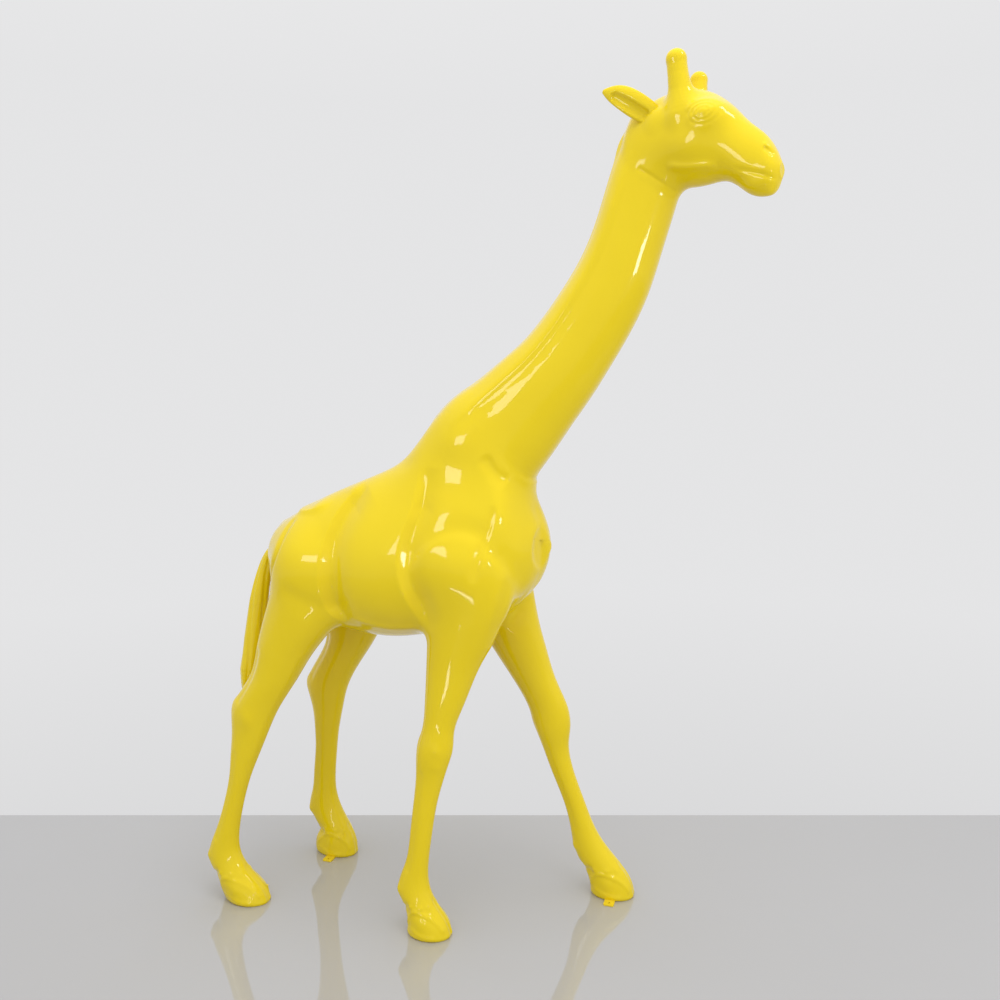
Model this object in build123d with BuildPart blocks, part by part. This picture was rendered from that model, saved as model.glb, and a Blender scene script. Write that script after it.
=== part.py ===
from build123d import *
import os
from math import cos, radians, sin

os.makedirs("parts", exist_ok=True)

# Hollow moulded giraffe in a walking pose, on a welded tube armature. Millimetres.
# It faces -Y, its left side is +X, and it stands on Z = 0. Stations are written in the
# animal's own terms: forward of the shoulder, out from the middle plane, up from the floor.

# Driving dimensions
MIDDLE = -75  # forward reading of the middle of the overall length, which lies at Y = 0
SHELL_WALL = 5
HEAD_TURN = radians(22)  # the head looks to its right
HEAD_PIVOT = 400  # forward reading of the upright axis that the head turns about
LEG_SEAM = 765  # height at which the leg shells meet the torso shells

# Armature
ROD_RADIUS = 21.3 / 2
ROD_WALL = 2.6
ROD_BEND = 70
ROD_STATIONS = (3, 7, 10, 12)  # leg stations, counted up from the sole, that a rod passes
ROD_END_MARGIN = 4  # from a rod's side to the end of its cross tube
FRAME_RADIUS = 33.7 / 2
FRAME_WALL = 3.2
FRAME_BEND = 120
CROSS_RADIUS = 42.4 / 2
CROSS_UP = 1010
CROSS_HALF_LENGTH = 118
SHOULDER_CROSS = -45
HIP_CROSS = -540
NECK_TUBE_CORNERS = [  # (forward, up)
    (SHOULDER_CROSS, CROSS_UP),
    (-10, 1340),
    (120, 1512),
    (268, 1722),
    (362, 1930),
    (400, 2060),
]
FILL_TOP = 92  # height of the resin plug in each hoof

# Fixing lugs
LUG_WIDTH = 30
LUG_THICK = 4
LUG_HOLE = 7
LUG_HOLE_OUT = 64  # hole centre from the hoof centre, towards the middle plane
LUG_HOLE_EDGE = 13  # hole centre to the lug's end
LUG_CORNER = 5

# Seam tape
TAPE_HALF_WIDTH = 35
TAPE_THICK = 2.5

# Torso: (forward, top, bottom, width)
TORSO = [
    (-700, 1056, 962, 90),
    (-670, 1092, 905, 200),
    (-620, 1130, 858, 290),
    (-540, 1171, 826, 336),
    (-450, 1205, 798, 350),
    (-360, 1240, 784, 372),
    (-270, 1296, 786, 384),
    (-190, 1344, 800, 372),
    (-110, 1372, 816, 352),
    (-30, 1350, 842, 330),
    (40, 1290, 880, 290),
    (92, 1204, 932, 216),
    (130, 1118, 1002, 96),
]

# Neck: back edge and front edge of each station (forward, up), and its width
NECK = [
    ((-212, 1318), (60, 1090), 290),
    ((-168, 1421), (100, 1212), 256),
    ((-92, 1478), (136, 1290), 222),
    ((-17, 1531), (200, 1386), 194),
    ((51, 1584), (256, 1468), 178),
    ((100, 1635), (297, 1534), 168),
    ((141, 1687), (332, 1592), 160),
    ((208, 1787), (382, 1688), 150),
    ((257, 1886), (420, 1800), 141),
    ((290, 1985), (450, 1900), 135),
    ((325, 2086), (474, 1990), 130),
]

# Head: (forward, top, bottom, width)
HEAD = [
    (345, 2126, 2060, 64),
    (372, 2164, 2018, 112),
    (424, 2198, 1988, 140),
    (490, 2204, 1971, 150),
    (555, 2188, 1969, 150),
    (612, 2146, 1964, 118),
    (664, 2090, 1936, 96),
    (706, 2046, 1920, 88),
    (732, 2004, 1934, 54),
]

# Horns: (forward, out, up, radius) from inside the skull to the rounded knob
HORN = [
    (506, 46, 2132, 33),
    (504, 50, 2184, 29),
    (501, 55, 2224, 26),
    (499, 59, 2252, 26),
    (498, 61, 2271, 21),
    (498, 62, 2279, 10),
]
LEFT_HORN_AHEAD = 5  # the left horn stands a little forward and lower than the right one
LEFT_HORN_DROP = 15

# Ears: (forward, out, up, breadth, thickness) from inside the skull to the tip
EAR = [
    (446, 44, 2132, 46, 24),
    (424, 60, 2146, 60, 28),
    (394, 76, 2166, 74, 30),
    (362, 88, 2186, 70, 26),
    (332, 95, 2202, 42, 18),
    (312, 98, 2212, 12, 8),
]
EAR_LEAN = (0.5, 0, 0.87)  # the ear's breadth runs this way (forward, out, up)

# Tail: (forward, left, up, radius) from the rump to the tip on the right hock
TAIL = [
    (-640, 0, 1112, 15),
    (-678, -1, 1066, 14),
    (-708, -4, 1015, 14),
    (-730, -10, 958, 20),
    (-744, -26, 860, 23),
    (-752, -48, 745, 22),
    (-758, -70, 660, 19),
    (-764, -90, 588, 9),
]

# Legs: (up, forward, out, depth, width) from the top, inside the body, to the sole
FRONT_RIGHT_LEG = [
    (1120, -40, 92, 110, 90),
    (1030, -42, 104, 190, 136),
    (930, -45, 112, 236, 152),
    (840, -66, 116, 204, 132),
    (745, -94, 122, 152, 108),
    (630, -118, 134, 108, 84),
    (562, -133, 141, 90, 78),
    (512, -142, 146, 98, 80),
    (440, -152, 151, 84, 62),
    (370, -164, 156, 70, 54),
    (270, -177, 162, 64, 52),
    (190, -188, 166, 68, 56),
    (118, -196, 169, 98, 70),
    (80, -176, 171, 108, 80),
    (40, -153, 172, 118, 92),
    (0, -147, 172, 130, 100),
]
FRONT_LEFT_LEG = [
    (1120, -40, 92, 110, 90),
    (1030, -42, 104, 190, 136),
    (930, -42, 112, 226, 152),
    (840, -20, 116, 196, 132),
    (745, 18, 122, 166, 108),
    (630, 73, 132, 128, 86),
    (556, 107, 139, 120, 80),
    (500, 117, 143, 102, 78),
    (435, 128, 149, 78, 62),
    (370, 146, 154, 70, 54),
    (270, 183, 160, 66, 52),
    (200, 206, 164, 76, 58),
    (140, 230, 168, 104, 70),
    (92, 262, 170, 126, 82),
    (40, 297, 172, 128, 94),
    (0, 298, 172, 130, 100),
]
HIND_RIGHT_LEG = [
    (1110, -535, 84, 120, 84),
    (1040, -524, 100, 184, 132),
    (930, -530, 112, 224, 152),
    (840, -556, 118, 224, 140),
    (745, -603, 126, 176, 118),
    (660, -641, 134, 146, 98),
    (570, -695, 143, 146, 84),
    (500, -713, 148, 118, 70),
    (435, -729, 151, 92, 60),
    (373, -744, 154, 70, 54),
    (290, -765, 158, 62, 52),
    (200, -788, 162, 74, 58),
    (122, -796, 164, 108, 70),
    (84, -774, 165, 122, 80),
    (42, -735, 166, 132, 92),
    (0, -716, 166, 134, 98),
]
HIND_LEFT_LEG = [
    (1110, -535, 84, 120, 84),
    (1040, -524, 100, 184, 132),
    (930, -526, 112, 226, 152),
    (840, -520, 118, 226, 140),
    (745, -516, 124, 168, 118),
    (660, -559, 132, 144, 98),
    (565, -612, 141, 138, 84),
    (490, -619, 147, 106, 70),
    (420, -624, 150, 84, 60),
    (350, -630, 154, 75, 54),
    (270, -639, 158, 76, 52),
    (200, -644, 162, 86, 58),
    (138, -638, 164, 116, 70),
    (92, -610, 165, 112, 80),
    (45, -599, 166, 128, 92),
    (0, -603, 166, 132, 98),
]
LEG_PARTING_STATION = 5  # a leg's two shells part on a plane from this station to the sole
LEGS = {
    "front_right": (FRONT_RIGHT_LEG, -1, SHOULDER_CROSS),
    "front_left": (FRONT_LEFT_LEG, 1, SHOULDER_CROSS),
    "hind_right": (HIND_RIGHT_LEG, -1, HIP_CROSS),
    "hind_left": (HIND_LEFT_LEG, 1, HIP_CROSS),
}


def spot(forward, left, up):
    """A point of the animal in the part's frame."""
    return Vector(left, MIDDLE - forward, up)


def head_spot(forward, left, up):
    """A point of the head, turned with it about its upright axis."""
    ahead = forward - HEAD_PIVOT
    return spot(
        HEAD_PIVOT + ahead * cos(HEAD_TURN) + left * sin(HEAD_TURN),
        left * cos(HEAD_TURN) - ahead * sin(HEAD_TURN),
        up,
    )


# Directions of the turned head
HEAD_LEFT = Vector(cos(HEAD_TURN), -sin(HEAD_TURN), 0)
HEAD_AHEAD = Vector(-sin(HEAD_TURN), -cos(HEAD_TURN), 0)

# Seam planes
SAGITTAL = Plane.YZ
HEAD_SAGITTAL = Plane(head_spot(HEAD_PIVOT, 0, 0), z_dir=HEAD_LEFT)
NECK_SEAM = Plane(spot(-34, 0, 1318), z_dir=(0, -0.62, 0.78))
HEAD_SEAM = Plane(spot(386, 0, 2010), z_dir=(0, -0.64, 0.77))
LEVEL_SEAM = Plane.XY.offset(LEG_SEAM)


def end_shift(number, last, inset):
    """How far the end stations of an inset form move in, which leaves an end wall."""
    if number == 0:
        return inset
    return -inset if number == last else 0


def torso_form(inset=0):
    """The barrel through upright ellipses from rump to chest."""
    with BuildPart() as form:
        for number, (forward, top, bottom, width) in enumerate(TORSO):
            forward += end_shift(number, len(TORSO) - 1, inset)
            middle = spot(forward, 0, (top + bottom) / 2)
            with BuildSketch(Plane(middle, x_dir=(1, 0, 0), z_dir=(0, -1, 0))):
                Ellipse(width / 2 - inset, (top - bottom) / 2 - inset)
        loft()
    return form.part


def neck_form(inset=0):
    """The neck through ellipses that span from its back edge to its front edge."""
    with BuildPart() as form:
        for (back, back_up), (front, front_up), width in NECK:
            middle = spot((back + front) / 2, 0, (back_up + front_up) / 2)
            across = spot(front, 0, front_up) - spot(back, 0, back_up)
            with BuildSketch(Plane(middle, x_dir=across, z_dir=across.cross(Vector(1, 0, 0)))):
                Ellipse(across.length / 2 - inset, width / 2 - inset)
        loft()
    return form.part


def head_form(inset=0):
    """The head through upright ellipses from the back of the skull to the lips."""
    with BuildPart() as form:
        for number, (forward, top, bottom, width) in enumerate(HEAD):
            forward += end_shift(number, len(HEAD) - 1, inset)
            middle = head_spot(forward, 0, (top + bottom) / 2)
            with BuildSketch(Plane(middle, x_dir=HEAD_LEFT, z_dir=HEAD_AHEAD)):
                Ellipse(width / 2 - inset, (top - bottom) / 2 - inset)
        loft()
    return form.part


def leg_form(name, inset=0):
    """A leg through level ellipses from inside the body to the sole, which an inset form passes."""
    stations, side, _ = LEGS[name]
    with BuildPart() as form:
        for up, forward, out, depth, width in stations:
            if up == 0:
                up = -inset
            with BuildSketch(Plane(spot(forward, side * out, up))):
                Ellipse(width / 2 - inset, depth / 2 - inset)
        loft()
    return form.part


def body_form(inset=0):
    """Torso, neck, head and the four legs as one solid."""
    with BuildPart() as form:
        add(torso_form(inset))
        add(neck_form(inset))
        add(head_form(inset))
        for name in LEGS:
            add(leg_form(name, inset))
    return form.part


def finish(name, part):
    """Label a finished piece and write it."""
    part.label = name
    export_step(part, f"parts/{name}.step")


def bar(points, radius, bend=0):
    """A solid round bar along straight runs with bent corners."""
    with BuildPart() as solid:
        with BuildLine() as route:
            if len(points) == 2:
                Line(*points)
            else:
                FilletPolyline(*points, radius=bend)
        with BuildSketch(Plane(route.line @ 0, z_dir=route.line % 0)):
            Circle(radius)
        sweep()
    return solid.part


def tube(points, radius, wall, bend=0):
    """A round tube along straight runs with bent corners."""
    with BuildPart() as pipe:
        add(bar(points, radius, bend))
        add(bar(points, radius - wall, bend), mode=Mode.SUBTRACT)
    return pipe.part


# ---- Skin of the body, neck and head -------------------------------------------------
with BuildPart() as skin:
    add(body_form())
    add(body_form(SHELL_WALL), mode=Mode.SUBTRACT)

with BuildPart() as head_skin:
    add(skin.part)
    split(bisect_by=HEAD_SEAM, keep=Keep.TOP)

with BuildPart() as neck_skin:
    add(skin.part)
    split(bisect_by=HEAD_SEAM, keep=Keep.BOTTOM)
    split(bisect_by=NECK_SEAM, keep=Keep.TOP)

with BuildPart() as torso_skin:
    add(skin.part)
    split(bisect_by=NECK_SEAM, keep=Keep.BOTTOM)
    split(bisect_by=LEVEL_SEAM, keep=Keep.TOP)

for region, whole, seam in (
    ("head", head_skin, HEAD_SAGITTAL),
    ("neck", neck_skin, SAGITTAL),
    ("torso", torso_skin, SAGITTAL),
):
    for side, half in (("left", Keep.TOP), ("right", Keep.BOTTOM)):
        with BuildPart() as shell:
            add(whole.part)
            split(bisect_by=seam, keep=half)
        finish(f"{region}_shell_{side}", shell.part)


# ---- Armature ------------------------------------------------------------------------
def cross_ends(forward):
    """The two ends of the cross tube at a forward reading."""
    return [spot(forward, left, CROSS_UP) for left in (-CROSS_HALF_LENGTH, CROSS_HALF_LENGTH)]


SPINE_ENDS = [spot(HIP_CROSS, 0, CROSS_UP), spot(SHOULDER_CROSS, 0, CROSS_UP)]

finish("shoulder_cross_tube", tube(cross_ends(SHOULDER_CROSS), CROSS_RADIUS, FRAME_WALL))
finish("hip_cross_tube", tube(cross_ends(HIP_CROSS), CROSS_RADIUS, FRAME_WALL))

with BuildPart() as spine_tube:
    add(tube(SPINE_ENDS, FRAME_RADIUS, FRAME_WALL))
    for cross in (HIP_CROSS, SHOULDER_CROSS):
        add(bar(cross_ends(cross), CROSS_RADIUS), mode=Mode.SUBTRACT)
finish("spine_tube", spine_tube.part)

with BuildPart() as neck_tube:
    neck_route = [spot(forward, 0, up) for forward, up in NECK_TUBE_CORNERS]
    add(tube(neck_route, FRAME_RADIUS, FRAME_WALL, FRAME_BEND))
    add(bar(cross_ends(SHOULDER_CROSS), CROSS_RADIUS), mode=Mode.SUBTRACT)
    add(bar(SPINE_ENDS, FRAME_RADIUS), mode=Mode.SUBTRACT)
finish("neck_tube", neck_tube.part)


# ---- Legs ----------------------------------------------------------------------------
def make_leg(name):
    """A leg's two shells, its rod, its fixing lug and the resin fill of its hoof."""
    stations, side, cross = LEGS[name]
    _, sole_forward, sole_out, _, _ = stations[-1]
    inner_form = leg_form(name, SHELL_WALL)

    with BuildPart() as lug:
        lug_end = sole_out - LUG_HOLE_OUT - LUG_HOLE_EDGE
        lug_length = sole_out + ROD_RADIUS - lug_end
        with BuildSketch(Plane(spot(sole_forward, side * (lug_end + lug_length / 2), 0))):
            Rectangle(lug_length, LUG_WIDTH)
            fillet(vertices(), LUG_CORNER)
            with Locations((-side * (lug_length / 2 - LUG_HOLE_EDGE), 0)):
                Circle(LUG_HOLE / 2, mode=Mode.SUBTRACT)
        extrude(amount=LUG_THICK)
    finish(f"{name}_fixing_lug", lug.part)

    with BuildPart() as rod:
        route = [spot(sole_forward, side * sole_out, -LUG_THICK)]
        for number in ROD_STATIONS:
            up, forward, out, _, _ = stations[-1 - number]
            route.append(spot(forward, side * out, up))
        rod_end = CROSS_HALF_LENGTH - ROD_RADIUS - ROD_END_MARGIN
        route.append(spot(cross, side * rod_end, CROSS_UP))
        add(tube(route, ROD_RADIUS, ROD_WALL, ROD_BEND))
        split(bisect_by=Plane.XY.offset(LUG_THICK), keep=Keep.TOP)
        add(bar(cross_ends(cross), CROSS_RADIUS), mode=Mode.SUBTRACT)
    finish(f"{name}_leg_rod", rod.part)

    with BuildPart() as rod_room:
        add(bar(route, ROD_RADIUS, ROD_BEND))
        split(bisect_by=Plane.XY.offset(LUG_THICK), keep=Keep.TOP)
    with BuildPart() as fill:
        add(inner_form)
        split(bisect_by=Plane.XY.offset(FILL_TOP), keep=Keep.BOTTOM)
        split(bisect_by=Plane.XY, keep=Keep.TOP)
        add(lug.part, mode=Mode.SUBTRACT)
        add(rod_room.part, mode=Mode.SUBTRACT)
    finish(f"{name}_hoof_fill", fill.part)

    with BuildPart() as skin_below:
        add(leg_form(name))
        add(inner_form, mode=Mode.SUBTRACT)
        split(bisect_by=LEVEL_SEAM, keep=Keep.BOTTOM)
        add(lug.part, mode=Mode.SUBTRACT)
    top_up, top_forward, top_out, _, _ = stations[LEG_PARTING_STATION]
    top = spot(top_forward, side * top_out, top_up)
    sole = spot(sole_forward, side * sole_out, 0)
    parting = Plane(sole, z_dir=(top - sole).cross(Vector(0, 1, 0)) * -side)
    for half, keep in (("outer", Keep.TOP), ("inner", Keep.BOTTOM)):
        with BuildPart() as shell:
            add(skin_below.part)
            split(bisect_by=parting, keep=keep)
        finish(f"{name}_leg_shell_{half}", shell.part)


for leg_name in LEGS:
    make_leg(leg_name)


# ---- Castings on the head, and the tail ----------------------------------------------
def horn(side):
    """One horn, seated on the skull."""
    ahead, drop = (LEFT_HORN_AHEAD, LEFT_HORN_DROP) if side > 0 else (0, 0)
    with BuildPart() as casting:
        for forward, out, up, radius in HORN:
            with BuildSketch(Plane(head_spot(forward + ahead, side * out, up - drop))):
                Circle(radius)
        loft()
        add(head_form(), mode=Mode.SUBTRACT)
    return casting.part


def ear(side):
    """One leaf-shaped ear with a hollow outer face, seated on the skull."""
    lean = head_spot(EAR_LEAN[0], side * EAR_LEAN[1], EAR_LEAN[2]) - head_spot(0, 0, 0)
    root = head_spot(EAR[0][0], side * EAR[0][1], EAR[0][2])
    tip = head_spot(EAR[-1][0], side * EAR[-1][1], EAR[-1][2])
    along = (tip - root).normalized()
    breadth_way = (lean - along * lean.dot(along)).normalized()
    with BuildPart() as casting:
        for forward, out, up, breadth, thickness in EAR:
            with BuildSketch(Plane(head_spot(forward, side * out, up), x_dir=breadth_way, z_dir=along)):
                Ellipse(breadth / 2, thickness / 2)
        loft()
        add(head_form(), mode=Mode.SUBTRACT)
    return casting.part


for side_name, side in (("right", -1), ("left", 1)):
    finish(f"ossicone_{side_name}", horn(side))
    finish(f"ear_{side_name}", ear(side))

with BuildPart() as tail:
    for number, (forward, left, up, radius) in enumerate(TAIL):
        before = TAIL[max(number - 1, 0)]
        after = TAIL[min(number + 1, len(TAIL) - 1)]
        heading = spot(*after[:3]) - spot(*before[:3])
        with BuildSketch(Plane(spot(forward, left, up), x_dir=(1, 0, 0), z_dir=heading)):
            Circle(radius)
    loft()
    add(torso_form(), mode=Mode.SUBTRACT)
    add(leg_form("hind_right"), mode=Mode.SUBTRACT)
finish("tail", tail.part)


# ---- Glass tape over the seams inside -------------------------------------------------
def seam_tape(form, seam, ends):
    """A strip that lies on the inner face of a closed form, along its middle plane."""
    with BuildPart() as tape:
        add(form(SHELL_WALL))
        split(bisect_by=seam.offset(TAPE_HALF_WIDTH), keep=Keep.BOTTOM)
        split(bisect_by=seam.offset(-TAPE_HALF_WIDTH), keep=Keep.TOP)
        for plane, keep in ends:
            split(bisect_by=plane, keep=keep)
        add(form(SHELL_WALL + TAPE_THICK), mode=Mode.SUBTRACT)
    return tape.part


with BuildPart() as torso_tape:
    add(seam_tape(torso_form, SAGITTAL, [(NECK_SEAM, Keep.BOTTOM)]))
    add(neck_form(SHELL_WALL), mode=Mode.SUBTRACT)
finish("torso_seam_tape", torso_tape.part)

neck_tape = seam_tape(neck_form, SAGITTAL, [(HEAD_SEAM, Keep.BOTTOM), (NECK_SEAM, Keep.TOP)])
for strip, piece in zip(("front", "back"), neck_tape.solids().sort_by(Axis.Y)):
    finish(f"neck_seam_tape_{strip}", piece)

with BuildPart() as head_tape:
    add(seam_tape(head_form, HEAD_SAGITTAL, [(HEAD_SEAM, Keep.TOP)]))
    add(neck_form(SHELL_WALL), mode=Mode.SUBTRACT)
finish("head_seam_tape", head_tape.part)
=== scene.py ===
from math import cos, pi, radians, sin

import bmesh
import bpy
import numpy as np
from mathutils import Matrix, Vector


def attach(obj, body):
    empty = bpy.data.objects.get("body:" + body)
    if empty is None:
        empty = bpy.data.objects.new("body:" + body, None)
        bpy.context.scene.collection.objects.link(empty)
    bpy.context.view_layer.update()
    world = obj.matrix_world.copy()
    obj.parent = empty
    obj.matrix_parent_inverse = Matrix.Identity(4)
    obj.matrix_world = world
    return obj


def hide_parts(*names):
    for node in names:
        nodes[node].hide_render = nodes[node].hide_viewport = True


# A hollow moulded giraffe in high-gloss yellow lacquer, walking, on four drilled steel lugs.
# The skin is sculpted as one distance field, in the animal's own millimetres: forward of the
# shoulder, left of the middle plane, up from the floor. It is then cut along the CAD seams, so
# that each moulded piece stands for its CAD node.

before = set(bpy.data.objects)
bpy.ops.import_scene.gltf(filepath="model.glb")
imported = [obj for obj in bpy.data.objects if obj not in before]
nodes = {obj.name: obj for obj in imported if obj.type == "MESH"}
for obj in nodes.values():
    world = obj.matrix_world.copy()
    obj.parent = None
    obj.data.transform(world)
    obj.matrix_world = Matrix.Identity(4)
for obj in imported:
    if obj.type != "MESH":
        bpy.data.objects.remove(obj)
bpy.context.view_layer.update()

MM = 0.001
MIDDLE = -75  # forward reading of Y = 0
SHELL_WALL = 5
STEP = 4  # lattice spacing on the body
FINE_STEP = 2  # on the head
HEAD_TURN = radians(22)
HEAD_LEAN = (0, 0, -22)  # the same turn, for shapes that lean with the head
HEAD_PIVOT = 400
LEG_SEAM = 765
TAPE_HALF_WIDTH = 35
TAPE_THICK = 2.5
FAR = 1e3
TINY, TINY_LENGTH = 1e-6, 1e-9  # keep divisors off zero
CURVE_SAMPLES, ARC_POINTS = 1200, 9
MARGIN = 6  # room left round a shape for its blend
LEAST_HALF_TORSO, LEAST_HALF_HEAD = 8, 5  # keep the ends of the forms from vanishing
FURROW_SPREAD, SWELL_SPREAD = 2.4, 2.3  # in widths, how far a press is worked out
FACE_REACH = (240, 240, 2300)  # how far out a stroke works, forward, left and up
FACE_FADE = 16
SOLE_EDGE = 5  # rounding under the hooves
SOLE_GAP = 0.5  # the resin stands this far off the floor
FILL_TOP = 92
NECK_BLEND, LEG_BLEND, HEAD_BLEND = 70, 48, 40  # rounding where the main forms meet
HORN_BLEND, CROWN_BLEND, EAR_ROOT_BLEND, END_BLEND = 30, 6, 20, 24


def to_row(points):
    """Animal millimetres to the row frame's metres."""
    points = np.asarray(points, float)
    return np.stack([points[..., 1], MIDDLE - points[..., 0], points[..., 2]], -1) * MM


# ---- Smooth curves through stations ---------------------------------------------------
def spline(knots, values):
    """A natural cubic curve through values at rising knots, as a function."""
    knots, values = np.asarray(knots, float), np.asarray(values, float)
    gap = np.diff(knots)
    rise = np.diff(values) / gap
    count = len(knots)
    system, target = np.eye(count), np.zeros(count)
    for i in range(1, count - 1):
        system[i, i - 1 : i + 2] = gap[i - 1], 2 * (gap[i - 1] + gap[i]), gap[i]
        target[i] = 6 * (rise[i] - rise[i - 1])
    bend = np.linalg.solve(system, target)
    dense = np.linspace(knots[0], knots[-1], CURVE_SAMPLES)
    seat = np.clip(np.searchsorted(knots, dense, "right") - 1, 0, count - 2)
    ahead, behind = knots[seat + 1] - dense, dense - knots[seat]
    width = gap[seat]
    curve = (bend[seat] * ahead**3 + bend[seat + 1] * behind**3) / (6 * width)
    curve += (values[seat] / width - bend[seat] * width / 6) * ahead
    curve += (values[seat + 1] / width - bend[seat + 1] * width / 6) * behind
    return lambda x: np.interp(x, dense, curve)


def squared_oval(a, b, half_a, half_b, power):
    """Signed distance, nearly, from an ellipse whose corners are filled out by a power over 2."""
    share_a, share_b = np.abs(a / half_a) + TINY, np.abs(b / half_b) + TINY
    total = share_a**power + share_b**power
    scaled = total ** (1 / power)
    steep = np.hypot(share_a ** (power - 1) / half_a, share_b ** (power - 1) / half_b)
    return (scaled - 1) / (scaled / total * steep)


def oval(a, b, half_a, half_b):
    """Signed distance, nearly, from an ellipse with these half axes."""
    scaled = np.sqrt((a / half_a) ** 2 + (b / half_b) ** 2) + TINY
    slope = np.sqrt((a / half_a**2) ** 2 + (b / half_b**2) ** 2) + TINY
    return scaled * (scaled - 1) / slope


# ---- The distance field ---------------------------------------------------------------
def soft_min(a, b, blend):
    """The smaller of two distances, rounded where they meet."""
    if blend == 0:
        return np.minimum(a, b)
    overlap = np.maximum(blend - np.abs(a - b), 0) / blend
    return np.minimum(a, b) - overlap * overlap * blend / 4


class Shape:
    """A distance function of (forward, left, up), with the box outside which it is left out."""

    def __init__(self, low, high, distance):
        self.low, self.high, self.distance = low, high, distance


class Block:
    """A box of lattice points holding the field."""

    def __init__(self, low, high, step):
        self.step = step
        first = np.floor(np.array(low) / step).astype(int)
        last = np.ceil(np.array(high) / step).astype(int)
        self.low = first * step
        self.axes = [np.arange(a, b + 1, dtype=np.float32) * step for a, b in zip(first, last)]
        self.value = np.full([len(axis) for axis in self.axes], FAR, np.float32)

    def apply(self, kind, shape, blend):
        """Join one shape to the field, or press it in, inside its box."""
        cuts = []
        for axis, low, high in zip(self.axes, shape.low, shape.high):
            cuts.append(slice(*np.searchsorted(axis, (low - blend, high + blend))))
        cuts = tuple(cuts)
        coordinates = np.ix_(*(axis[cut] for axis, cut in zip(self.axes, cuts)))
        here = self.value[cuts]
        if here.size == 0:
            return
        distance = shape.distance(*coordinates)
        if kind == "join":
            self.value[cuts] = soft_min(here, distance, blend)
        else:
            self.value[cuts] = here + distance


def turned(s, t):
    """Coordinates in the turned head, from animal coordinates."""
    ahead, left = s - HEAD_PIVOT, t
    return (
        HEAD_PIVOT + ahead * cos(HEAD_TURN) - left * sin(HEAD_TURN),
        ahead * sin(HEAD_TURN) + left * cos(HEAD_TURN),
    )


def in_head(forward, left, up):
    """A point of the turned head, in animal coordinates."""
    ahead = forward - HEAD_PIVOT
    return (
        HEAD_PIVOT + ahead * cos(HEAD_TURN) + left * sin(HEAD_TURN),
        left * cos(HEAD_TURN) - ahead * sin(HEAD_TURN),
        up,
    )


def room(points, reach):
    """The box that takes in points and a reach round them."""
    points = np.asarray(points, float)
    return points.min(0) - reach, points.max(0) + reach


def seen_from(centre, lean):
    """A function for coordinates from a centre, along axes that lean.

    The lean is given in degrees about the forward, left and up axes.
    """
    spin = Matrix.Identity(3)
    for axis, angle in zip("XYZ", lean):
        spin = Matrix.Rotation(radians(angle), 3, axis) @ spin
    back = np.array(spin.inverted())

    def local(s, t, z):
        s, t, z = s - centre[0], t - centre[1], z - centre[2]
        return [row[0] * s + row[1] * t + row[2] * z for row in back]

    return local


def ball(centre, radii, lean=(0, 0, 0)):
    """An ellipsoid, which may lean."""
    local = seen_from(centre, lean)

    def distance(s, t, z):
        place = list(zip(local(s, t, z), radii))
        scaled = np.sqrt(sum((c / r) ** 2 for c, r in place)) + TINY
        slope = np.sqrt(sum((c / r**2) ** 2 for c, r in place)) + TINY
        return scaled * (scaled - 1) / slope

    return Shape(*room([centre], max(radii) * 1.5 + MARGIN), distance)


def line_distance(points, radii, s, t, z):
    """Distance from a chain of rounded, tapering rods."""
    best = FAR
    for (a, b), (ra, rb) in zip(zip(points, points[1:]), zip(radii, radii[1:])):
        a, b = np.array(a, float), np.array(b, float)
        along = b - a
        share = (s - a[0]) * along[0] + (t - a[1]) * along[1] + (z - a[2]) * along[2]
        share = np.clip(share / max(along @ along, TINY), 0, 1)
        gap = (s - a[0] - share * along[0]) ** 2 + (t - a[1] - share * along[1]) ** 2
        gap = np.sqrt(gap + (z - a[2] - share * along[2]) ** 2)
        best = np.minimum(best, gap - (ra + (rb - ra) * share))
    return best


def smooth_line(points, parts=6):
    """The points of a curve through given points."""
    points = np.array(points, float)
    if len(points) < 3:
        return points
    knots = np.arange(len(points))
    dense = np.linspace(0, len(points) - 1, (len(points) - 1) * parts + 1)
    return np.stack([spline(knots, column)(dense) for column in points.T], -1)


def rope(points, radii):
    """A rounded rod of changing radius through a curve."""
    points = smooth_line(points)
    radii = np.interp(np.linspace(0, 1, len(points)), np.linspace(0, 1, len(radii)), radii)
    box = room(points, max(radii) + MARGIN)
    return Shape(*box, lambda s, t, z: line_distance(points, radii, s, t, z))


def furrow(points, width, depth):
    """Press in a soft groove along a curve, or a ridge where the depth is negative."""
    points = smooth_line(points)
    flat = np.zeros(len(points))

    def press(s, t, z):
        gap = line_distance(points, flat, s, t, z)
        return depth * np.exp(-((gap / width) ** 2))

    return "press", Shape(*room(points, width * FURROW_SPREAD), press), 0


def swell(centre, radii, height, lean=(0, 0, 0)):
    """Press a soft bump on the surface that is there, or a dimple where the height is negative."""
    local = seen_from(centre, lean)

    def press(s, t, z):
        return -height * np.exp(-sum((c / r) ** 2 for c, r in zip(local(s, t, z), radii)))

    return "press", Shape(*room([centre], max(radii) * SWELL_SPREAD), press), 0


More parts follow.
